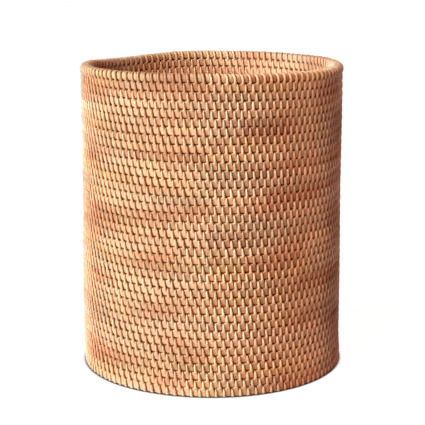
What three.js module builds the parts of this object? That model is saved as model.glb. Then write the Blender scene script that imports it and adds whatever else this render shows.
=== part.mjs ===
// Rattan wastebasket: a round, open-topped basket of stacked rattan hoops, bound together with split cane.
// Millimetres, +Z up. The origin is the centre of the foot, on the floor.
//
// The wall is a stack of closed hoops. Split cane is wound round every hoop and tied into the hoop below, so
// it lies over the outside and the inside of the wall. Here the cane of six hoops at a time is one outside
// and one inside band. The foot course is wrapped underneath and the rim is lashed over the top. The flat
// base is a coil of the same rod, bound on both faces, and sits inside the foot course.

import * as THREE from 'three';

// Wall
const WALL_COURSES = 37;
const COURSE_PITCH = 7.25;
const ROD_RADIUS = 3.0;
const CANE_THICKNESS = 1.1;
const WALL_THICKNESS = 8.0;
const FOOT_OUTER_RADIUS = 121.2;
const WALL_TOP_OUTER_RADIUS = 118.2;
const BINDING_ZONES = 6;

// Rim
const RIM_OUTER_RADIUS = 120.0;
const RIM_INNER_RADIUS = 108.7;
const RIM_TOP = 278.0;
const RIM_ROD_HALF_HEIGHT = 3.7;

// Base
const BASE_UNDERSIDE = 1.0;
const COIL_FIRST_RADIUS = 5.0;
const COIL_TURNS = 14.3;
const COIL_JOINT_TURN = 9.6;

// Clearance between touching pieces, and how finely the round shapes are divided
const GAP = 0.3;
const RING_SEGMENTS = 24;
const ROD_SIDES = 6;
const RIM_ROD_SIDES = 8;
const COIL_STEPS_PER_TURN = 20;

const CORE_ROD = { color: 0xd9b183, roughness: 0.7, metalness: 0 };
const SPLIT_CANE = { color: 0xc98f5a, roughness: 0.55, metalness: 0 };
const RIM_CANE = { color: 0xd09a66, roughness: 0.5, metalness: 0 };

const wallTop = WALL_COURSES * COURSE_PITCH;
const baseRadius = FOOT_OUTER_RADIUS - WALL_THICKNESS - GAP;
const baseThickness = 2 * (CANE_THICKNESS + GAP + ROD_RADIUS);

// The wall narrows a little from the foot to the rim.
function wallOuterRadius(height) {
  const taper = (FOOT_OUTER_RADIUS - WALL_TOP_OUTER_RADIUS) / wallTop;
  return FOOT_OUTER_RADIUS - taper * height;
}

function wallMiddleRadius(height) {
  return wallOuterRadius(height) - WALL_THICKNESS / 2;
}

function makeMesh(name, geometry, finish) {
  const mesh = new THREE.Mesh(geometry, new THREE.MeshStandardMaterial(finish));
  mesh.name = name;
  return mesh;
}

// Turns an outline of [radius, height] pairs, listed anticlockwise, about the basket's axis.
function turnOutline(outline) {
  const points = outline.map(([radius, height]) => new THREE.Vector2(radius, height));
  const closesOnAxis = outline[0][0] === 0;
  if (!closesOnAxis) {
    points.push(points[0].clone());
  }
  const geometry = new THREE.LatheGeometry(points, RING_SEGMENTS);
  geometry.rotateX(Math.PI / 2);
  return geometry;
}

// The outline of a rod, round or oval, with one corner straight up.
function rodOutline(ringRadius, halfWidth, halfHeight, sides) {
  return Array.from({ length: sides }, (_, corner) => {
    const angle = Math.PI / 2 + (2 * Math.PI * corner) / sides;
    return [ringRadius + halfWidth * Math.cos(angle), halfHeight * Math.sin(angle)];
  });
}

// Wall hoops: one rod per course, bent round and spliced into a closed ring.
function makeCoreHoop(course) {
  const isFoot = course === 1;
  const footHeight = CANE_THICKNESS + GAP + ROD_RADIUS;
  const height = isFoot ? footHeight : (course - 0.5) * COURSE_PITCH;
  const outline = rodOutline(wallMiddleRadius(height), ROD_RADIUS, ROD_RADIUS, ROD_SIDES);
  const name = `core_hoop_${String(course).padStart(2, '0')}`;
  const hoop = makeMesh(name, turnOutline(outline), CORE_ROD);
  hoop.position.z = height;
  return hoop;
}

// Cane on one face of the wall, over the hoops of one zone.
function makeBindingBand(name, bottom, top, outerRadiusAt) {
  const outline = [
    [outerRadiusAt(bottom), 0],
    [outerRadiusAt(top), top - bottom],
    [outerRadiusAt(top) - CANE_THICKNESS, top - bottom],
    [outerRadiusAt(bottom) - CANE_THICKNESS, 0],
  ];
  const band = makeMesh(name, turnOutline(outline), SPLIT_CANE);
  band.position.z = bottom;
  return band;
}

function innerBandOuterRadius(height) {
  return wallOuterRadius(height) - WALL_THICKNESS + CANE_THICKNESS;
}

// Cane wrapped under the lowest hoop: a trough that the hoop lies in, with a flat ring to stand on.
function makeFootBinding() {
  const top = COURSE_PITCH - GAP / 2;
  const inner = FOOT_OUTER_RADIUS - WALL_THICKNESS;
  const outline = [
    [inner, 0],
    [FOOT_OUTER_RADIUS, 0],
    [wallOuterRadius(top), top],
    [wallOuterRadius(top) - CANE_THICKNESS, top],
    [FOOT_OUTER_RADIUS - CANE_THICKNESS, CANE_THICKNESS],
    [inner + CANE_THICKNESS, CANE_THICKNESS],
    [inner + CANE_THICKNESS, top],
    [inner, top],
  ];
  return makeMesh('foot_binding', turnOutline(outline), SPLIT_CANE);
}

function makeWall() {
  const wall = new THREE.Group();
  for (let course = 1; course <= WALL_COURSES; course += 1) {
    wall.add(makeCoreHoop(course));
  }
  wall.add(makeFootBinding());
  const zoneHeight = (wallTop - COURSE_PITCH) / BINDING_ZONES;
  for (let zone = 1; zone <= BINDING_ZONES; zone += 1) {
    const bottom = COURSE_PITCH + (zone - 1) * zoneHeight + GAP / 2;
    const top = bottom + zoneHeight - GAP;
    wall.add(makeBindingBand(`wall_binding_outside_${zone}`, bottom, top, wallOuterRadius));
    wall.add(makeBindingBand(`wall_binding_inside_${zone}`, bottom, top, innerBandOuterRadius));
  }
  return wall;
}

// Rim: one thicker rod, and cane lashed over it that reaches down to the top of the wall on both sides.
function makeRim() {
  const rim = new THREE.Group();
  const middleRadius = (RIM_OUTER_RADIUS + RIM_INNER_RADIUS) / 2;
  const rodHalfWidth = (RIM_OUTER_RADIUS - RIM_INNER_RADIUS) / 2 - CANE_THICKNESS - GAP;
  const rodOval = rodOutline(middleRadius, rodHalfWidth, RIM_ROD_HALF_HEIGHT, RIM_ROD_SIDES);
  const rod = makeMesh('rim_hoop', turnOutline(rodOval), CORE_ROD);
  rod.position.z = RIM_TOP - CANE_THICKNESS - GAP - RIM_ROD_HALF_HEIGHT;
  rim.add(rod);

  const height = RIM_TOP - wallTop - GAP / 2;
  const shoulder = 1.8;
  const outline = [
    [RIM_OUTER_RADIUS, 0],
    [RIM_OUTER_RADIUS, height - shoulder],
    [RIM_OUTER_RADIUS - shoulder, height],
    [RIM_INNER_RADIUS + shoulder, height],
    [RIM_INNER_RADIUS, height - shoulder],
    [RIM_INNER_RADIUS, 0],
    [RIM_INNER_RADIUS + CANE_THICKNESS, 0],
    [RIM_INNER_RADIUS + CANE_THICKNESS, height - shoulder],
    [RIM_INNER_RADIUS + shoulder, height - CANE_THICKNESS],
    [RIM_OUTER_RADIUS - shoulder, height - CANE_THICKNESS],
    [RIM_OUTER_RADIUS - CANE_THICKNESS, height - shoulder],
    [RIM_OUTER_RADIUS - CANE_THICKNESS, 0],
  ];
  const lashing = makeMesh('rim_lashing', turnOutline(outline), RIM_CANE);
  lashing.position.z = wallTop + GAP / 2;
  rim.add(lashing);
  return rim;
}

// A flat spiral that grows by one course pitch a turn. It is divided evenly by angle, not by length, so that
// neighbouring turns bend at the same places.
class FlatSpiral extends THREE.Curve {
  constructor(firstTurn, lastTurn) {
    super();
    this.firstTurn = firstTurn;
    this.lastTurn = lastTurn;
  }

  getPoint(t, target = new THREE.Vector3()) {
    const turn = THREE.MathUtils.lerp(this.firstTurn, this.lastTurn, t);
    const radius = COIL_FIRST_RADIUS + turn * COURSE_PITCH;
    const angle = 2 * Math.PI * turn;
    return target.set(radius * Math.cos(angle), radius * Math.sin(angle), 0);
  }

  getUtoTmapping(u) {
    return u;
  }
}

function makeCoil(name, firstTurn, lastTurn) {
  const corners = Array.from({ length: ROD_SIDES }, (_, corner) => {
    const angle = (2 * Math.PI * corner) / ROD_SIDES;
    return new THREE.Vector2(ROD_RADIUS * Math.cos(angle), ROD_RADIUS * Math.sin(angle));
  });
  const geometry = new THREE.ExtrudeGeometry(new THREE.Shape(corners), {
    extrudePath: new FlatSpiral(firstTurn, lastTurn),
    steps: Math.ceil((lastTurn - firstTurn) * COIL_STEPS_PER_TURN),
    bevelEnabled: false,
  });
  return makeMesh(name, geometry, CORE_ROD);
}

function makeBaseBinding(name, radius) {
  const outline = [[0, 0], [radius, 0], [radius, CANE_THICKNESS], [0, CANE_THICKNESS]];
  return makeMesh(name, turnOutline(outline), SPLIT_CANE);
}

// Base: two lengths of rod laid end to end in a flat coil, with cane over and under them.
function makeBase() {
  const base = new THREE.Group();
  base.position.z = BASE_UNDERSIDE;

  const lower = makeBaseBinding('base_binding_lower', baseRadius);
  const upper = makeBaseBinding('base_binding_upper', baseRadius);
  upper.position.z = baseThickness - CANE_THICKNESS;

  const jointRadius = COIL_FIRST_RADIUS + COIL_JOINT_TURN * COURSE_PITCH;
  const jointGap = GAP / (2 * Math.PI * jointRadius);
  const coil = new THREE.Group();
  coil.position.z = baseThickness / 2;
  coil.add(makeCoil('base_coil_inner', 0, COIL_JOINT_TURN));
  coil.add(makeCoil('base_coil_outer', COIL_JOINT_TURN + jointGap, COIL_TURNS));

  base.add(lower, upper, coil);
  return base;
}

const wastebasket = new THREE.Group();
wastebasket.add(makeBase(), makeWall(), makeRim());

export default wastebasket;
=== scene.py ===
"""The looks of a rattan wastebasket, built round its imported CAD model. Metres, +Z up, the front faces -Y.

The wall is a stack of rattan rods. A strip of split cane winds round every two neighbouring rods: over the upper
rod it is squeezed into a narrow, proud ridge, and over the lower rod it spreads into a flat pad. The ridges of
one course sit between the pads of the course above, so the two interlock like bricks. The base is a flat coil
bound in the same way, and the rim is a thicker rod wrapped between the stitches that tie it down.
"""

import math

import bpy
import numpy as np
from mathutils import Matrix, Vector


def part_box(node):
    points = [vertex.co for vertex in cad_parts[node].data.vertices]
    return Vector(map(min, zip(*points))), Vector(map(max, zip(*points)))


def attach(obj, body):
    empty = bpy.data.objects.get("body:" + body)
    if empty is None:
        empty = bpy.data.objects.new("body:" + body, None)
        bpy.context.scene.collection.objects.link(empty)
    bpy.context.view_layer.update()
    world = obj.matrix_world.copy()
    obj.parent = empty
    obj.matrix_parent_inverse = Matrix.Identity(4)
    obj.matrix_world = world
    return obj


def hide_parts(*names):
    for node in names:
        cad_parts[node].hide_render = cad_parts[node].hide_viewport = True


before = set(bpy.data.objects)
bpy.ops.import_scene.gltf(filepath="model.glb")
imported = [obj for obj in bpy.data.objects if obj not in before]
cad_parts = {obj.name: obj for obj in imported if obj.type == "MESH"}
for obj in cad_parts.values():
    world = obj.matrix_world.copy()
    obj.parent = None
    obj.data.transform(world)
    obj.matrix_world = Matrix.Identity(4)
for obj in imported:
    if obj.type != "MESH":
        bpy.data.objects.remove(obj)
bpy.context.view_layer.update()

MM = 0.001
COURSES = 37
RIM_COURSE = COURSES + 1
STITCHES = 112

# Sizes are in millimetres. The CAD rods are six-sided, with this much from the middle to a flat. The binding
# squeezes them until they almost touch, so each is a little taller than it is wide.
ROD_RADIUS = 2.6
ROD_HALF_HEIGHT = 3.7

# The base is a coil that starts at this radius and grows by one pitch a turn. Two lengths of rod meet at a joint.
COIL_FIRST_RADIUS = 5.0
COIL_PITCH = 7.25
COIL_TURNS = 14.3
COIL_JOINT_TURN = 9.6
COIL_JOINT_GAP_TURNS = 0.002
COIL_END_FULLNESS = 0.7

# Half the width of the rim over its lashing, and the rod inside. The lashing pulls the whole rim down a little,
# and the rod lies a little lower inside it.
RIM_HALF_WIDTH = 5.65
RIM_ROD_HALF_WIDTH = 3.0
RIM_ROD_HALF_HEIGHT = 3.6
RIM_PULLED_DOWN = 0.5
RIM_ROD_BELOW_LASHING = 0.5

# The distance between stitches that the stitch shapes below are drawn for
STITCH_PITCH = 6.62

# Near the front the stitches are closer together at the rim than at the foot. This much at most, in radians:
STITCH_CROWDING = 0.05

# How much the stitches differ from one another: a share of the width, of the thickness and of the lean, and
# millimetres sideways, in radius and in height
WIDTH_SPREAD = 0.05
THICKNESS_SPREAD = 0.05
LEAN_SPREAD = 0.25
SIDEWAYS_SPREAD = 0.11
RADIUS_SPREAD = 0.06
HEIGHT_SPREAD = 0.10

rng = np.random.default_rng(37)


# ---------------------------------------------------------------- places, from the frame

def ring_place(node):
    """The radius and height, in mm, of the middle line of a wall hoop."""
    low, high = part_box(node)
    return high.x / MM - ROD_RADIUS, (low.z + high.z) / 2 / MM


hoops = {course: ring_place(f"core_hoop_{course:02d}") for course in range(1, COURSES + 1)}

coil_low, coil_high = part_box("base_coil_outer")
coil_height = (coil_low.z + coil_high.z) / 2 / MM

rim_low, rim_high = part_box("rim_hoop")
lashing_low, lashing_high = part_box("rim_lashing")
rim_top = lashing_high.z / MM
rim_radius = lashing_high.x / MM - RIM_HALF_WIDTH
rim_height = (rim_low.z + rim_high.z) / 2 / MM - RIM_PULLED_DOWN


# ---------------------------------------------------------------- hand-made unevenness

def bump(angle, centre, half_width):
    """1 at a centre angle, in degrees, falling smoothly to 0 at half_width either side of it."""
    distance = np.abs((np.degrees(angle) - centre + 180) % 360 - 180)
    return np.where(distance < half_width, 0.5 + 0.5 * np.cos(math.pi * distance / half_width), 0.0)


def uneven(radius, angle, height):
    """Moves points, in mm, by the small wander of hand work. The foot stays flat on the floor."""
    lifted = np.clip(height / 25, 0, 1)

    # The wall is not quite round, and a little slimmer below the rim.
    wander = 0.30 * np.sin(2 * angle + 0.8) + 0.22 * np.sin(3 * angle - height / 70)
    wander += 0.12 * np.sin(7 * angle + height / 23) - 0.8 * np.clip((250 - height) / 80, 0, 1)

    # The foot is pressed in at the left.
    foot = np.clip(1 - height / 30, 0, 1) * np.clip((radius - 60) / 50, 0, 1)
    pressed_in = 2.4 * bump(angle, -100, 55) * foot

    # The courses sag a little at the front right. The rim rises at the back and, less, at both sides, and dips at
    # the back left.
    rise = -0.9 * bump(angle, 75, 75)
    rise += 0.14 * np.sin(5 * angle + height / 31) + 0.10 * np.sin(9 * angle - height / 17)
    near_rim = np.clip((height - 215) / 48, 0, 1) ** 2
    rim_rise = 3.5 * bump(angle, 170, 100) - 1.8 * bump(angle, -132, 38)
    rim_rise += 1.5 * bump(angle, 95, 50) + 0.7 * bump(angle, -98, 40)
    return radius + wander * lifted - pressed_in, height + (rise + rim_rise * near_rim) * lifted


def basket_points(angle, radius, height):
    """Points in metres from angles round the basket, radii and heights in mm. Angle 0 is the front."""
    radius, height = uneven(radius, angle, height)
    points = np.stack([radius * np.sin(angle), -radius * np.cos(angle), height], axis=-1)
    return points * MM


# ---------------------------------------------------------------- mesh building

def make_mesh(name, points, quads, attributes=None):
    mesh = bpy.data.meshes.new(name)
    points = points.reshape(-1, 3)
    quads = quads.reshape(-1, 4)
    mesh.vertices.add(len(points))
    mesh.vertices.foreach_set("co", points.ravel())
    mesh.loops.add(quads.size)
    mesh.loops.foreach_set("vertex_index", quads.ravel().astype(np.int32))
    mesh.polygons.add(len(quads))
    mesh.polygons.foreach_set("loop_start", np.arange(0, quads.size, 4, dtype=np.int32))
    mesh.update(calc_edges=True)
    mesh.shade_smooth()
    for key, values in (attributes or {}).items():
        layer = mesh.attributes.new(key, "FLOAT_VECTOR", "POINT")
        layer.data.foreach_set("vector", np.ascontiguousarray(values.reshape(-1, 3), np.float32).ravel())
    piece = bpy.data.objects.new(name, mesh)
    bpy.context.scene.collection.objects.link(piece)
    return piece


def tube_quads(loops, stations, sides):
    """Faces of closed tubes whose points are numbered by loop, then station, then side."""
    here, corner = np.meshgrid(np.arange(stations), np.arange(sides), indexing="ij")
    ahead = (here + 1) % stations
    beside = (corner + 1) % sides
    one = np.stack(
        [here * sides + corner, here * sides + beside, ahead * sides + beside, ahead * sides + corner], axis=-1
    )
    return one[None] + (np.arange(loops) * stations * sides)[:, None, None, None]


def finish_piece(piece, material, nodes):
    piece.data.materials.append(material)
    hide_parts(*nodes)
    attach(piece, "root")
    return piece


# ---------------------------------------------------------------- rods

def rod_section(half_width, half_height, sides):
    turn = np.linspace(0, 2 * math.pi, sides, endpoint=False)
    return half_width * np.cos(turn), half_height * np.sin(turn)


def make_hoop(name, radius, height, half_width, half_height, node, steps=120, sides=10):
    out, up = rod_section(half_width, half_height, sides)
    angle = np.linspace(0, 2 * math.pi, steps, endpoint=False)[:, None] + 0 * out
    points = basket_points(angle, radius + out + 0 * angle, height + up + 0 * angle)
    quads = tube_quads(1, steps, sides)[..., ::-1]
    return finish_piece(make_mesh(name, points, quads), rod_material, [node])


def coil_radius(turn):
    return COIL_FIRST_RADIUS + COIL_PITCH * turn


def coil_angle(turn):
    """The spiral starts at the right-hand side of the basket, where the angle from the front is a quarter turn."""
    return 2 * math.pi * turn + math.pi / 2


def make_coil(name, first_turn, last_turn, node, steps_per_turn=60, sides=10):
    """A length of the base coil, cut off square with softened ends."""
    steps = int((last_turn - first_turn) * steps_per_turn)
    turn = np.linspace(first_turn, last_turn, steps)[:, None]
    fullness = np.full((steps, 1), 1.0)
    fullness[[0, -1]] = COIL_END_FULLNESS
    out, up = rod_section(ROD_RADIUS, ROD_RADIUS, sides)
    angle = coil_angle(turn) + 0 * out
    points = basket_points(angle, coil_radius(turn) + out * fullness, coil_height + up * fullness)
    side_quads = tube_quads(1, steps, sides)[:, :-1, :, ::-1].reshape(-1, 4)
    first_end = np.array([(0, k, k + 1, k + 2) for k in range(1, sides - 1, 2)])
    last_end = first_end[:, ::-1] + (steps - 1) * sides
    piece = make_mesh(name, points, np.concatenate([side_quads, first_end, last_end]))
    return finish_piece(piece, rod_material, [node])


# ---------------------------------------------------------------- stitches

# One half of a stitch's way round two rods, from over the upper rod, down the outside, to under the lower rod.
# Each row is at the crown of the strip: the rod it is measured from (0 upper, 1 lower), up and out from that
# rod's middle, the strip's width and thickness, how far it lies sideways, how far it has moved on towards the
# next stitch as a share of their distance, and how far its straight edge stays folded up above the rest.
# The outside half leans down to the right.
WALL_STITCH = [
    (0, 3.42, 0.9, 1.8, 1.00, -0.45, -0.18, 0.0),
    (0, 3.40, 2.8, 1.5, 1.30, -0.40, -0.04, 0.0),
    (0, 3.08, 4.15, 1.8, 1.70, -0.35, 0.0, 0.0),
    (0, 2.10, 4.74, 2.15, 1.90, -0.32, 0.0, 0.0),
    (0, 0.20, 4.82, 2.35, 1.90, -0.17, 0.0, 0.1),
    (0, -1.80, 4.78, 2.45, 1.85, 0.12, 0.0, 0.3),
    (1, 3.65, 4.52, 2.8, 1.75, 0.26, 0.0, 0.7),
    (1, 3.10, 4.25, 4.3, 1.65, -0.40, 0.0, 1.0),
    (1, 2.20, 3.98, 4.9, 1.50, -0.52, 0.0, 1.0),
    (1, 0.20, 3.55, 5.0, 1.15, -0.20, 0.0, 0.8),
    (1, -1.70, 3.20, 4.9, 1.05, 0.22, 0.0, 0.5),
    (1, -2.60, 2.90, 4.8, 1.00, 0.42, 0.0, 0.3),
    (1, -3.08, 2.40, 4.3, 1.05, 0.68, 0.02, 0.1),
    (1, -3.28, 1.85, 3.6, 0.95, 0.80, 0.06, 0.0),
    (1, -3.35, 0.80, 3.2, 0.90, 0.40, 0.17, 0.0),
]

# As above, but over the foot hoop the pad runs on down to the floor
LOWEST_STITCH = WALL_STITCH[:10] + [
    (0, -8.20, 3.45, 4.9, 1.10, 0.22, 0.0, 0.5),
    (0, -9.50, 3.42, 4.9, 1.10, 0.32, 0.0, 0.3),
    (0, -10.30, 3.20, 4.8, 1.05, 0.42, 0.0, 0.1),
    (0, -10.72, 2.40, 4.5, 1.00, 0.50, 0.04, 0.0),
    (0, -10.80, 0.80, 3.4, 0.95, 0.30, 0.17, 0.0),
]

# Over the rim rod and down to the top hoop
RIM_TIE = [
    (0, 3.95, 0.4, 3.0, 1.40, -0.10, -0.24, 0.0),
    (0, 3.75, 2.2, 2.8, 1.45, -0.25, -0.17, 0.0),
    (0, 3.15, 3.7, 2.6, 1.55, -0.34, -0.09, 0.0),
    (0, 2.00, 4.75, 2.5, 1.70, -0.30, -0.03, 0.0),
    (0, 0.20, 5.25, 2.5, 1.85, -0.14, 0.0, 0.0),
    (0, -1.80, 5.25, 2.5, 1.90, 0.08, 0.0, 0.0),
    (0, -3.20, 5.00, 2.5, 1.85, 0.20, 0.0, 0.3),
    (1, 3.55, 4.75, 2.8, 1.75, 0.26, 0.0, 0.7),
    (1, 2.95, 4.25, 4.3, 1.65, -0.40, 0.0, 1.0),
    (1, 2.10, 3.98, 4.9, 1.50, -0.52, 0.0, 1.0),
    (1, 0.20, 3.55, 5.0, 1.15, -0.20, 0.0, 0.8),
    (1, -1.70, 3.20, 4.9, 1.05, 0.22, 0.0, 0.5),
    (1, -2.60, 2.90, 4.8, 1.00, 0.42, 0.0, 0.3),
    (1, -3.08, 2.40, 4.3, 1.05, 0.68, 0.02, 0.1),
    (1, -3.28, 1.85, 3.6, 0.95, 0.80, 0.06, 0.0),
    (1, -3.35, 0.80, 3.2, 0.90, 0.40, 0.17, 0.0),
]

# Round the rim rod alone, between the ties
RIM_WRAP = [
    (0, 3.80, 0.4, 3.2, 1.40, 0.0, -0.24, 0.0),
    (0, 3.60, 2.0, 3.2, 1.40, 0.0, -0.17, 0.0),
    (0, 2.95, 3.3, 3.4, 1.35, 0.0, -0.08, 0.0),
    (0, 1.80, 4.05, 4.0, 1.30, -0.05, -0.02, 0.2),
    (0, 0.20, 4.15, 4.3, 1.25, 0.0, 0.0, 0.3),
    (0, -1.70, 3.95, 4.5, 1.20, 0.10, 0.0, 0.3),
    (0, -2.80, 3.60, 4.4, 1.10, 0.30, 0.0, 0.3),
    (0, -3.35, 3.00, 4.0, 1.05, 0.50, 0.02, 0.1),
    (0, -3.60, 2.10, 3.6, 1.00, 0.50, 0.07, 0.0),
    (0, -3.65, 0.90, 3.2, 0.95, 0.20, 0.17, 0.0),
]

# All round the foot hoop and the outermost turn of the base coil, which lies beside it
FOOT_STITCH = [
    (0, 2.95, 0.9, 1.7, 1.00, -0.45, -0.18, 0.0),
    (0, 2.85, 2.5, 1.3, 1.15, -0.40, -0.04, 0.0),
    (0, 2.45, 3.8, 1.6, 1.60, -0.33, 0.0, 0.0),
    (0, 1.50, 4.45, 2.0, 1.80, -0.30, 0.0, 0.0),
    (0, 0.30, 4.68, 2.5, 1.85, -0.14, 0.0, 0.0),
    (0, -1.20, 4.68, 2.6, 1.80, 0.05, 0.0, 0.0),
    (0, -2.50, 4.62, 2.7, 1.70, 0.15, 0.0, 0.0),
    (0, -3.50, 4.45, 2.8, 1.40, 0.20, 0.0, 0.0),
    (0, -4.10, 4.10, 3.0, 1.20, 0.20, 0.0, 0.0),
    (0, -4.36, 3.30, 3.3, 1.00, 0.20, 0.0, 0.0),
    (0, -4.36, -1.00, 4.6, 1.00, 0.10, 0.0, 0.0),
    (1, -4.00, 2.20, 4.6, 1.00, -0.05, 0.0, 0.0),
    (1, -4.00, -1.40, 4.6, 1.00, 0.10, 0.0, 0.0),
    (1, -3.50, -2.90, 4.2, 1.00, 0.20, 0.03, 0.0),
    (1, -2.40, -3.50, 3.6, 0.95, 0.30, 0.15, 0.0),
    (1, 2.40, -3.50, 3.6, 0.95, -0.30, 0.35, 0.0),
    (1, 3.70, -2.70, 4.2, 1.00, -0.10, 0.5, 0.0),
    (1, 4.10, -0.50, 4.4, 1.00, 0.0, 0.5, 0.0),
    (1, 3.90, 1.80, 3.4, 1.10, 0.0, 0.5, 0.0),
    (0, 4.00, -4.30, 2.2, 1.20, 0.1, 0.52, 0.0),
    (0, 3.20, -3.00, 1.8, 1.10, 0.2, 0.58, 0.0),
    (0, 2.98, -1.30, 1.6, 1.00, 0.4, 0.70, 0.0),
]

# Painted shade: the pads and the low parts across a strip are tinted darker and redder than the proud ridges and
# crowns, as if these caught the light. This much of the difference comes from the ridge or pad, and the rest from
# the place across the strip.
PROUD_SHARE = 0.5

# A strip squeezed to the first width is all ridge, and one that spreads to the second is all pad.
RIDGE_WIDTH = 2.4
PAD_WIDTH = 4.6

# A strip gives way where the stitches crowd and fills out where they do not, but only this far.
NARROWED = 0.9
WIDENED = 1.08

# The section of a strip, across its width from -0.5 to 0.5: the height of a ridge, that of a pad, how much painted
# shade each gets, and how much a fold along the straight edge changes the height. On the outside the painted shade
# is darkest at the right edge of a ridge and the left edge of the pad beside it, a painted shadow of the ridge,
# and lighter along the other edges.
SECTION_ACROSS = np.array([-0.5, -0.46, -0.2, 0.04, 0.28, 0.46, 0.5])
RIDGE_HEIGHT = np.array([0.0, 0.36, 0.87, 1.0, 0.86, 0.38, 0.0])
PAD_HEIGHT = np.array([0.0, 0.70, 0.90, 0.94, 0.92, 0.72, 0.0])
RIDGE_PAINTED_SHADE = np.array([0.3, 0.05, 0.0, 0.0, 0.06, 0.62, 1.0])
PAD_PAINTED_SHADE = np.array([0.95, 0.38, 0.0, 0.0, 0.0, 0.10, 0.5])
FOLD_HEIGHT = np.array([0.0, -0.20, -0.28, -0.17, 0.08, 0.14, 0.0])


def both_faces(half):
    """Adds the inside half of a stitch, which mirrors the outside half and moves on towards the next stitch."""
    inside = [
        (rod, up, -out, width, depth, -sideways, 0.5 - moved_on, -fold)
        for rod, up, out, width, depth, sideways, moved_on, fold in reversed(half)
    ]
    return half + inside


def stitch_angles(course, height):
    """The angle of every stitch of a course. Neighbouring courses are half a stitch apart."""
    even = (np.arange(STITCHES) + 0.5 * (course % 2)) * 2 * math.pi / STITCHES
    crowding = STITCH_CROWDING * (2 * height / rim_top - 1)
    wander = 0.05 * np.sin(3 * even + course) + 0.03 * np.sin(8 * even + 2.3 * course)
    return even - crowding * np.sin(even) + wander * 2 * math.pi / STITCHES


class Clouds:
    """Slow changes of tone over the basket, longer round it than up it, from a handful of waves."""

    def __init__(self, waves=14):
        self.round = rng.integers(1, 9, waves)
        self.up = rng.uniform(-1, 1, waves) * 2 * math.pi / rng.uniform(13, 45, waves)
        self.start = rng.uniform(0, 2 * math.pi, waves)

    def at(self, angle, height):
        waves = np.sin(self.round * angle[:, None] + self.up * height + self.start)
        return waves.sum(axis=1) / math.sqrt(len(self.up) / 2)


redness = Clouds()
lightness = Clouds()
goldenness = Clouds()

# Each strip of cane binds this many stitches. One strip in five is reddish, and one in five golden.
RUN_SHORTEST = 8
RUN_LONGEST = 40
TINTED_SHARE = 0.2


def strip_runs(angles, height):
    """Tone of every stitch of a course: lightness, redness and goldenness. Each strip of cane makes a run, and the
    clouds of tone and a little chance for each stitch are laid over the runs."""
    count = len(angles)
    tone = np.zeros((count, 3))
    start = -int(rng.integers(0, 30))
    while start < count:
        length = int(rng.integers(RUN_SHORTEST, RUN_LONGEST))
        light = rng.normal(0, 0.6)
        red = rng.uniform(0.5, 1.0) if rng.random() < TINTED_SHARE else rng.uniform(0, 0.25)
        gold = rng.uniform(0.4, 1.0) if rng.random() < TINTED_SHARE else rng.uniform(0, 0.2)
        tone[max(start, 0):start + length] = (light, red, gold)
        start += length
    tone[:, 0] += rng.normal(0, 0.3, count) + 0.35 * lightness.at(angles, height)
    tone[:, 1] += rng.normal(0, 0.09, count) + 0.50 * np.clip(redness.at(angles, height) - 0.3, -0.5, 2)
    tone[:, 2] += rng.normal(0, 0.07, count) + 0.30 * np.clip(goldenness.at(angles, height) - 0.3, -0.5, 2)
    tone[:, 1:] = np.clip(tone[:, 1:], 0, 1)
    return tone


class Place:
    """Turns (up, out) from a rod's middle into a radius and a height. On the base, up is outwards."""

    def __init__(self, rods, flat=False):
        self.rods = rods
        self.flat = flat

    def at(self, rod, up, out):
        radius = np.where(rod == 0, self.rods[0][0], self.rods[1][0])
        height = np.where(rod == 0, self.rods[0][1], self.rods[1][1])
        return (radius + up, height - out) if self.flat else (radius + out, height + up)


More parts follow.
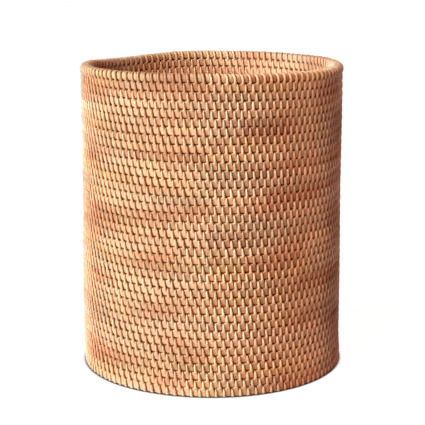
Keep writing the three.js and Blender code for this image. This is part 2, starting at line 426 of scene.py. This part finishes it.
def wind(name, rows, angles, place, material, nodes, following=True):
    """Winds cane round the rods, one turn at each angle. Each turn goes on into the following one, unless
    following is false; then each is a closed ring."""
    rod, up, out, width, depth, sideways, moved_on, fold = np.array(rows).T
    # Painted shade where a strip turns in: a little over the upper rod, and fully under the pad.
    over_the_top = np.clip((up - 3.0) / 0.4, 0, 1)
    under_the_pad = np.clip((-up - 2.2) / 0.8, 0, 1)
    turned_in = np.where(rod == 0, 0.3 * over_the_top, under_the_pad)
    count, stations, sides = len(angles), len(rows), len(SECTION_ACROSS)
    radius, height = place.at(rod, up, out)
    radius = np.broadcast_to(radius, (count, stations))
    height = np.broadcast_to(height, (count, stations))

    if following:
        to_next = (np.roll(angles, -1) - angles) % (2 * math.pi)
        share = np.clip((np.arange(stations) - stations / 2) / (stations / 2), 0, 1) ** 2
    else:
        to_next = np.full(count, STITCH_PITCH) / radius.mean(axis=1)
        share = np.zeros(stations)
        moved_on = np.zeros(stations)

    def vary(spread):
        """A random amount for each stitch, which runs smoothly into that of the following one."""
        each = rng.normal(0, spread, count)
        return each[:, None] * (1 - share) + np.roll(each, -1)[:, None] * share

    crowd = np.clip(to_next * radius.mean(axis=1) / STITCH_PITCH, NARROWED, WIDENED)[:, None]
    width = width * crowd * (1 + vary(WIDTH_SPREAD))
    depth = depth * (1 + vary(THICKNESS_SPREAD))
    sideways = sideways * crowd * (1 + vary(LEAN_SPREAD)) + vary(SIDEWAYS_SPREAD)
    radius = radius + vary(RADIUS_SPREAD)
    height = height + vary(HEIGHT_SPREAD) * np.clip(height / 15, 0, 1)
    along = np.concatenate([[0], np.cumsum(np.hypot(np.diff(height[0]), np.diff(radius[0])))])

    # The strip's crown faces square to its path.
    step_radius = np.roll(radius, -1, axis=1) - np.roll(radius, 1, axis=1)
    step_height = np.roll(height, -1, axis=1) - np.roll(height, 1, axis=1)
    length = np.hypot(step_radius, step_height)
    face_radius = -step_height / length
    face_height = step_radius / length

    padness = np.clip((width - RIDGE_WIDTH) / (PAD_WIDTH - RIDGE_WIDTH), 0, 1)[..., None]
    folded = np.where(fold[:, None] < 0, FOLD_HEIGHT[::-1], FOLD_HEIGHT) * np.abs(fold)[:, None]
    profile = RIDGE_HEIGHT + (PAD_HEIGHT - RIDGE_HEIGHT + folded) * padness
    sunk = depth[..., None] * (1 - profile)
    point_radius = radius[..., None] - sunk * face_radius[..., None]
    point_height = height[..., None] - sunk * face_height[..., None]
    across = width[..., None] * SECTION_ACROSS
    point_angle = (
        angles[:, None, None] + (moved_on * to_next[:, None])[..., None]
        + (sideways[..., None] + across) / radius.mean(axis=1)[:, None, None]
    )
    points = basket_points(point_angle, point_radius, point_height)

    shape = (count, stations, sides)
    grain = np.zeros(shape + (3,))
    grain[..., 0] = across
    grain[..., 1] = along[None, :, None]
    grain[..., 2] = rng.uniform(0, 100, count)[:, None, None]
    tone = np.broadcast_to(strip_runs(angles, height.mean())[:, None, None, :], shape + (3,))
    # The edge attribute carries painted shade for the material: x across the strip, along its edges and beside
    # each ridge; y how proud each place is, so that the low parts are shaded; z where the strip turns in.
    edge = np.zeros(shape + (3,))
    painted_shade = RIDGE_PAINTED_SHADE + (PAD_PAINTED_SHADE - RIDGE_PAINTED_SHADE) * padness
    edge[..., 0] = np.where(out[:, None] > 0, painted_shade, painted_shade[..., ::-1])
    edge[..., 1] = PROUD_SHARE * (1 - padness) + (1 - PROUD_SHARE) * profile
    edge[..., 2] = turned_in[None, :, None]
    quads = tube_quads(1, count * stations, sides) if following else tube_quads(count, stations, sides)
    piece = make_mesh(name, points, quads, {"grain": grain, "tone": tone, "edge": edge})
    return finish_piece(piece, material, nodes)


# ---------------------------------------------------------------- materials

class Nodes:
    """Short ways to add and join the nodes of one material."""

    def __init__(self, name):
        self.material = bpy.data.materials.new(name)
        self.material.use_nodes = True
        self.tree = self.material.node_tree
        self.shader = next(n for n in self.tree.nodes if n.type == "BSDF_PRINCIPLED")

    def add(self, kind, **settings):
        node = self.tree.nodes.new(kind)
        for key, value in settings.items():
            setattr(node, key, value)
        return node

    def join(self, output, socket):
        self.tree.links.new(output, socket)

    def put(self, socket, value):
        if isinstance(value, bpy.types.NodeSocket):
            self.join(value, socket)
        else:
            socket.default_value = value

    def attribute(self, name):
        return self.add("ShaderNodeAttribute", attribute_name=name).outputs["Vector"]

    def split(self, vector):
        node = self.add("ShaderNodeSeparateXYZ")
        self.join(vector, node.inputs[0])
        return node.outputs

    def scaled(self, vector, scale):
        node = self.add("ShaderNodeVectorMath", operation="MULTIPLY")
        self.join(vector, node.inputs[0])
        node.inputs[1].default_value = scale
        return node.outputs[0]

    def noise(self, vector, detail=2.0):
        node = self.add("ShaderNodeTexNoise")
        self.join(vector, node.inputs["Vector"])
        node.inputs["Scale"].default_value = 1.0
        node.inputs["Detail"].default_value = detail
        return node.outputs["Fac"]

    def ranged(self, value, low, high, to_low, to_high, smooth=False):
        node = self.add("ShaderNodeMapRange", interpolation_type="SMOOTHSTEP" if smooth else "LINEAR")
        self.join(value, node.inputs["Value"])
        node.inputs["From Min"].default_value = low
        node.inputs["From Max"].default_value = high
        node.inputs["To Min"].default_value = to_low
        node.inputs["To Max"].default_value = to_high
        return node.outputs["Result"]

    def mix(self, share, first, second, blend="MIX"):
        node = self.add("ShaderNodeMix", data_type="RGBA", blend_type=blend)
        self.put(node.inputs["Factor"], share)
        self.put(node.inputs["A"], first)
        self.put(node.inputs["B"], second)
        return node.outputs["Result"]

    def grey(self, value):
        """A colour whose three parts are all one value."""
        node = self.add("ShaderNodeCombineColor")
        for socket in node.inputs:
            self.join(value, socket)
        return node.outputs[0]

    def bumped(self, height, strength, distance):
        node = self.add("ShaderNodeBump")
        node.inputs["Strength"].default_value = strength
        node.inputs["Distance"].default_value = distance * MM
        self.join(height, node.inputs["Height"])
        self.join(node.outputs[0], self.shader.inputs["Normal"])


def make_cane_material(name, honey, red, gold):
    """Split cane: a lacquered skin with fine lines along it, in strips of slightly different tones. Shade is
    painted into the colour: the low parts are darker and redder than the proud ridges, and the creases, the edges
    beside the ridges and the places where a strip turns in are darker still."""
    nodes = Nodes(name)
    tone = nodes.split(nodes.attribute("tone"))
    grain = nodes.attribute("grain")
    lines = nodes.noise(nodes.scaled(grain, (4.5, 0.22, 1.0)), 3.0)
    blotches = nodes.noise(nodes.scaled(grain, (0.8, 0.5, 1.0)), 3.0)

    colour = nodes.mix(tone[2], (*honey, 1), (*gold, 1))
    colour = nodes.mix(tone[1], colour, (*red, 1))
    light = nodes.ranged(tone[0], -2.0, 2.0, 0.70, 1.25)
    colour = nodes.mix(1.0, colour, nodes.grey(light), "MULTIPLY")
    colour = nodes.mix(1.0, colour, nodes.grey(nodes.ranged(blotches, 0.3, 0.7, 0.80, 1.14)), "MULTIPLY")
    colour = nodes.mix(1.0, colour, nodes.grey(nodes.ranged(lines, 0.3, 0.7, 0.86, 1.1)), "MULTIPLY")
    edge = nodes.split(nodes.attribute("edge"))
    # Painted shade: the low parts of a strip, below a ridge's crown, are multiplied by a darker, redder tint.
    sunken = nodes.ranged(edge[1], 0.42, 0.95, 0.55, 0.0)
    colour = nodes.mix(sunken, colour, nodes.mix(1.0, colour, (*SUNKEN_SHADE_TINT, 1), "MULTIPLY"))
    # Painted shade along the strip's edges and a painted shadow beside each ridge, in the crease colour.
    colour = nodes.mix(nodes.ranged(edge[0], 0.0, 1.0, 0.0, 0.9), colour, (*CREASE_SHADE, 1))
    # Painted shade where a strip turns in, under a pad and over the upper rod.
    colour = nodes.mix(nodes.ranged(edge[2], 0.0, 1.0, 0.0, 0.85, True), colour, (*CREASE_SHADE, 1))
    nodes.join(colour, nodes.shader.inputs["Base Color"])

    nodes.join(nodes.ranged(lines, 0.3, 0.7, 0.46, 0.60), nodes.shader.inputs["Roughness"])
    nodes.bumped(lines, 0.35, 0.15)
    nodes.shader.inputs["Specular IOR Level"].default_value = 0.2
    return nodes.material


def make_rod_material():
    """Rattan core: matte, fibrous and brown. Seen only in the gaps between strips, its dark red-brown is partly
    its own colour and partly painted shade for those gaps.
    """
    nodes = Nodes("rattan_core")
    position = nodes.add("ShaderNodeTexCoord").outputs["Object"]
    fibres = nodes.noise(nodes.scaled(position, (260.0, 260.0, 1900.0)), 3.0)
    colour = nodes.mix(nodes.ranged(fibres, 0.3, 0.7, 0.0, 1.0), (*CORE_DARK, 1), (*CORE_LIGHT, 1))
    nodes.join(colour, nodes.shader.inputs["Base Color"])
    nodes.shader.inputs["Roughness"].default_value = 0.75
    nodes.bumped(fibres, 0.4, 0.2)
    return nodes.material


HONEY = (0.88, 0.65, 0.44)
PINK_BROWN = (0.74, 0.41, 0.25)
GOLD = (0.91, 0.64, 0.34)
PALE_HONEY = (0.86, 0.64, 0.44)
# Painted shade tint for the low parts of the strips.
SUNKEN_SHADE_TINT = (0.84, 0.62, 0.40)
# Painted shade colour of the creases, of the edges beside the ridges and of the turn-ins.
CREASE_SHADE = (0.56, 0.18, 0.022)
# The core's colours, darkened and reddened as painted shade for the gaps where it shows.
CORE_DARK = (0.42, 0.13, 0.02)
CORE_LIGHT = (0.54, 0.19, 0.035)

cane_material = make_cane_material("split_cane", HONEY, PINK_BROWN, GOLD)
rim_material = make_cane_material("rim_cane", PALE_HONEY, PINK_BROWN, GOLD)
rod_material = make_rod_material()


# ---------------------------------------------------------------- the base

make_coil("base_rod_inner", 0.0, COIL_JOINT_TURN, "base_coil_inner")
make_coil("base_rod_outer", COIL_JOINT_TURN + COIL_JOINT_GAP_TURNS, COIL_TURNS, "base_coil_outer")


def base_stitch_turns():
    """Where the stitches of the base lie along the coil. Each slips into a gap between two of the turn before,
    when there is one close by."""
    turns = [1.0]
    last_turn = COIL_TURNS - 0.03
    while turns[-1] < last_turn:
        pitch = STITCH_PITCH / (2 * math.pi * coil_radius(turns[-1]))
        following = turns[-1] + pitch
        earlier = np.array(turns) + 1
        gaps = (earlier[1:] + earlier[:-1]) / 2
        near = gaps[np.abs(gaps - following) < 0.35 * pitch]
        turns.append(float(near[0]) if len(near) else following)
    return np.array(turns)


def make_base_binding():
    turns = base_stitch_turns()
    rows = both_faces(WALL_STITCH)
    names = [("base_stitches_inner", turns < COIL_JOINT_TURN), ("base_stitches_outer", turns >= COIL_JOINT_TURN)]
    for name, chosen in names:
        radius = coil_radius(turns[chosen])[:, None]
        place = Place([(radius, coil_height), (radius - COIL_PITCH, coil_height)], flat=True)
        wind(
            name, rows, coil_angle(turns[chosen]), place, cane_material,
            ["base_binding_lower", "base_binding_upper"], following=False,
        )


make_base_binding()


# ---------------------------------------------------------------- the wall

for course, (hoop_radius, hoop_height) in hoops.items():
    node = f"core_hoop_{course:02d}"
    make_hoop(f"rod_course_{course:02d}", hoop_radius, hoop_height, ROD_RADIUS, ROD_HALF_HEIGHT, node)


def make_foot_binding():
    angles = stitch_angles(1, 0)
    last_turn = COIL_TURNS - (coil_angle(COIL_TURNS) - angles) % (2 * math.pi) / (2 * math.pi)
    place = Place([hoops[1], (coil_radius(last_turn)[:, None], coil_height)])
    wind("foot_stitches", FOOT_STITCH, angles, place, cane_material, ["foot_binding"])


make_foot_binding()

ZONE_COURSES = 6
for course in range(2, COURSES + 1):
    zone = (course - 2) // ZONE_COURSES + 1
    rows = both_faces(LOWEST_STITCH if course == 2 else WALL_STITCH)
    wind(
        f"stitches_course_{course:02d}", rows, stitch_angles(course, hoops[course][1]),
        Place([hoops[course], hoops[course - 1]]), cane_material,
        [f"wall_binding_outside_{zone}", f"wall_binding_inside_{zone}"],
    )


# ---------------------------------------------------------------- the rim

make_hoop(
    "rim_rod", rim_radius, rim_height - RIM_ROD_BELOW_LASHING, RIM_ROD_HALF_WIDTH, RIM_ROD_HALF_HEIGHT,
    "rim_hoop", steps=180, sides=14,
)
rim_rods = Place([(rim_radius, rim_height), hoops[COURSES]])
wind(
    "rim_ties", both_faces(RIM_TIE), stitch_angles(RIM_COURSE, rim_height), rim_rods, rim_material,
    ["rim_lashing"],
)
wind(
    "rim_wraps", both_faces(RIM_WRAP), stitch_angles(RIM_COURSE + 1, rim_height), rim_rods, rim_material,
    ["rim_lashing"],
)


# ---------------------------------------------------------------- camera, light and floor

CAMERA_DISTANCE = 1.077
CAMERA_HEIGHT = 0.3596
CAMERA_PITCH = math.radians(11.68)
CAMERA_TURN = math.radians(-0.05)
CAMERA_LENS = 99.7


def make_camera():
    camera = bpy.data.objects.new("camera", bpy.data.cameras.new("camera"))
    camera.data.lens = CAMERA_LENS
    camera.data.sensor_width = 36
    camera.location = (0, -CAMERA_DISTANCE, CAMERA_HEIGHT)
    camera.rotation_euler = (math.pi / 2 - CAMERA_PITCH, 0, CAMERA_TURN)
    bpy.context.scene.collection.objects.link(camera)
    bpy.context.scene.camera = camera


def make_sun(name, azimuth, elevation, strength, softness, colour):
    """A soft, distant light. Azimuth is the side that it shines from: 0 is the front, 90 the right."""
    light = bpy.data.lights.new(name, "SUN")
    light.energy = strength
    light.angle = math.radians(softness)
    light.color = colour
    sun = bpy.data.objects.new(name, light)
    sun.rotation_euler = (math.radians(90 - elevation), 0, math.radians(azimuth))
    bpy.context.scene.collection.objects.link(sun)


FLOOR_HALF_SIZE = 4.0
# Painted contact shadow on the floor: how far its occlusion reaches, in mm, and the openness over which the glow
# fades to dark.
PAINTED_CONTACT_SHADOW_REACH = 9.0
PAINTED_CONTACT_SHADOW_OPENNESS = (0.50, 0.72)
PAPER_GLOW = 0.97
PAPER_GREY = 0.12
BOUNCE = (0.22, 0.16, 0.14)


def make_floor():
    """White paper that glows evenly white for the camera, with a painted contact shadow: ambient occlusion dims
    the glow into a thin dark line where the basket stands on it. The basket itself gets only a dim, warm bounce
    from the floor."""
    half = FLOOR_HALF_SIZE
    points = np.array([(-half, -half, 0), (half, -half, 0), (half, half, 0), (-half, half, 0)])
    floor = make_mesh("floor", points, np.array([[0, 1, 2, 3]]))
    material = bpy.data.materials.new("floor")
    material.use_nodes = True
    tree = material.node_tree
    tree.nodes.clear()
    output = tree.nodes.new("ShaderNodeOutputMaterial")
    seen = tree.nodes.new("ShaderNodeLightPath")
    mix = tree.nodes.new("ShaderNodeMixShader")
    dim = tree.nodes.new("ShaderNodeBsdfDiffuse")
    dim.inputs["Color"].default_value = (*BOUNCE, 1)
    bright = tree.nodes.new("ShaderNodeAddShader")
    paper = tree.nodes.new("ShaderNodeBsdfDiffuse")
    paper.inputs["Color"].default_value = (PAPER_GREY, PAPER_GREY, PAPER_GREY, 1)
    glow = tree.nodes.new("ShaderNodeEmission")
    # Painted contact shadow: ambient occlusion darkens the floor's glow near the basket.
    painted_contact_shadow = tree.nodes.new("ShaderNodeAmbientOcclusion")
    painted_contact_shadow.inputs["Distance"].default_value = PAINTED_CONTACT_SHADOW_REACH * MM
    lit = tree.nodes.new("ShaderNodeMapRange")
    lit.interpolation_type = "SMOOTHSTEP"
    lit.inputs["From Min"].default_value = PAINTED_CONTACT_SHADOW_OPENNESS[0]
    lit.inputs["From Max"].default_value = PAINTED_CONTACT_SHADOW_OPENNESS[1]
    lit.inputs["To Min"].default_value = 0.0
    lit.inputs["To Max"].default_value = PAPER_GLOW
    tree.links.new(painted_contact_shadow.outputs["AO"], lit.inputs["Value"])
    tree.links.new(lit.outputs["Result"], glow.inputs["Strength"])
    tree.links.new(paper.outputs[0], bright.inputs[0])
    tree.links.new(glow.outputs[0], bright.inputs[1])
    tree.links.new(seen.outputs["Is Camera Ray"], mix.inputs[0])
    tree.links.new(dim.outputs[0], mix.inputs[1])
    tree.links.new(bright.outputs[0], mix.inputs[2])
    tree.links.new(mix.outputs[0], output.inputs["Surface"])
    floor.data.materials.append(material)


FILL_COLOUR = (1.0, 0.60, 0.50)
FILL_STRENGTH = 0.09


def make_world():
    """A white backdrop that the camera sees, and a faint warm fill that the basket gets."""
    world = bpy.data.worlds.new("studio")
    world.use_nodes = True
    tree = world.node_tree
    tree.nodes.clear()
    output = tree.nodes.new("ShaderNodeOutputWorld")
    seen = tree.nodes.new("ShaderNodeLightPath")
    mix = tree.nodes.new("ShaderNodeMixShader")
    fill = tree.nodes.new("ShaderNodeBackground")
    fill.inputs["Color"].default_value = (*FILL_COLOUR, 1)
    fill.inputs["Strength"].default_value = FILL_STRENGTH
    backdrop = tree.nodes.new("ShaderNodeBackground")
    backdrop.inputs["Color"].default_value = (1, 1, 1, 1)
    backdrop.inputs["Strength"].default_value = 1.0
    tree.links.new(seen.outputs["Is Camera Ray"], mix.inputs[0])
    tree.links.new(fill.outputs[0], mix.inputs[1])
    tree.links.new(backdrop.outputs[0], mix.inputs[2])
    tree.links.new(mix.outputs[0], output.inputs["Surface"])
    bpy.context.scene.world = world


make_camera()
make_world()
make_floor()
make_sun("left", -62, 17, 2.9, 34, (0.76, 1.24, 1.46))
make_sun("front", -29, 18, 2.3, 14, (1.0, 0.62, 0.43))
make_sun("right", 100, 12, 0.95, 20, (1.0, 0.62, 0.72))
make_sun("back", 175, 12, 1.7, 50, (1.0, 0.64, 0.48))
make_sun("top", 0, 84, 0.2, 80, (1.0, 0.98, 0.96))
bpy.context.scene.view_settings.view_transform = "Standard"
